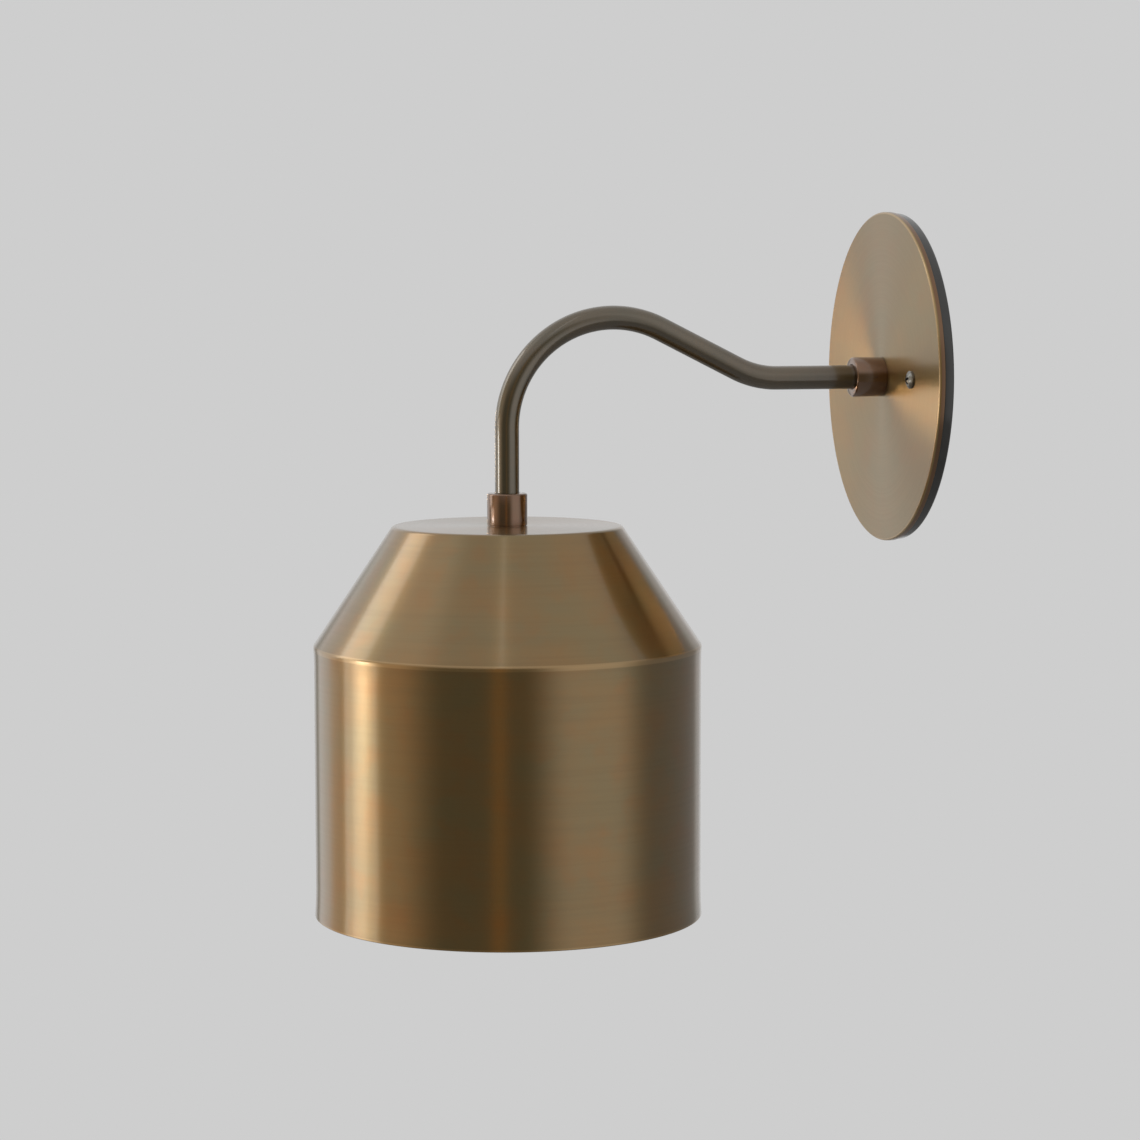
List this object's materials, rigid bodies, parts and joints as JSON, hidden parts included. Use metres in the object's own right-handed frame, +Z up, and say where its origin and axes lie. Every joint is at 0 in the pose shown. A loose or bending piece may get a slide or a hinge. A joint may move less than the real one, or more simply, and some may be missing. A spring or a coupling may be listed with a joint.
{
  "type": "wall sconce",
  "caption": "Wall sconce: round wall plate, gooseneck tube and a downward drum shade with a cone top, for a screw-in lamp.",
  "frame": {"origin": "on the wall plane, centre of the wall plate and of its two fixing slots, on the axis where the arm leaves the wall", "axes": "+Z up, +Y into the wall, +X to the right for someone facing the wall; the arm and shade reach along -Y"},
  "size_m": [0.1532, 0.2379, 0.2767],
  "materials": {
    "aged_brass_spun": "satin, spun, aged dark with a brown and olive patina",
    "aged_brass_brushed": "satin, brushed in circles, aged",
    "aged_brass_tube": "satin, drawn tube, aged dark",
    "aged_brass_turned": "satin, turned, aged reddish brown",
    "plain_brass": "plain machined",
    "contact_brass": "stamped, bright",
    "black_coat": "satin black powder coat on steel",
    "screw_steel": "antique nickel plated",
    "zinc_steel": "zinc plated",
    "green_steel": "green dyed zinc",
    "copper": null,
    "black_wire": "smooth insulation",
    "white_wire": "smooth insulation",
    "porcelain": "white glaze",
    "frosted_glass": "frosted inside",
    "clear_glass": "clear",
    "black_glass": "black vitrite",
    "nickel_cap": "bright",
    "solder": "dull solder",
    "filament": "yellow phosphor coat"
  },
  "bodies": {
    "fixture": {"backing_ring": "black_coat", "face_plate": "aged_brass_brushed", "plate_screws": "screw_steel", "crossbar": "zinc_steel", "ground_screw": "green_steel", "ground_lead": "copper", "wall_nipple": "plain_brass", "wall_lock_washer": "zinc_steel", "wall_nut": "plain_brass", "wall_collar": "aged_brass_turned", "arm_tube": "aged_brass_tube", "line_lead": "black_wire", "neutral_lead": "white_wire", "shade_collar": "aged_brass_turned", "shade_nipple": "plain_brass", "shade": "aged_brass_spun", "shade_washer": "plain_brass", "shade_lock_washer": "zinc_steel", "shade_nut": "plain_brass", "socket_cap": "zinc_steel", "socket_cap_screws": "screw_steel", "socket_body": "porcelain", "socket_shell": "contact_brass", "socket_contact": "contact_brass", "terminal_screws": "contact_brass"},
    "lamp_tip": {"bulb_contact": "solder"},
    "lamp": {"bulb_glass": "frosted_glass", "bulb_cap": "nickel_cap", "bulb_insulator": "black_glass", "bulb_stem": "clear_glass", "bulb_filaments": "filament"}
  },
  "joints": [
    {"name": "lamp_travel", "type": "slide", "parent": "fixture", "child": "lamp_tip", "axis": [0, 0, -1], "range_m": [0, 0.01814]},
    {"name": "lamp_turn", "type": "hinge", "parent": "lamp_tip", "child": "lamp", "pos_m": [0, -0.1613, -0.12], "axis": [0, 0, -1], "range_deg": [0, 1800]}
  ],
  "couplings": [
    {"joint": "lamp_travel", "follows": "lamp_turn", "m_per_rad": 0.0005775}
  ]
}
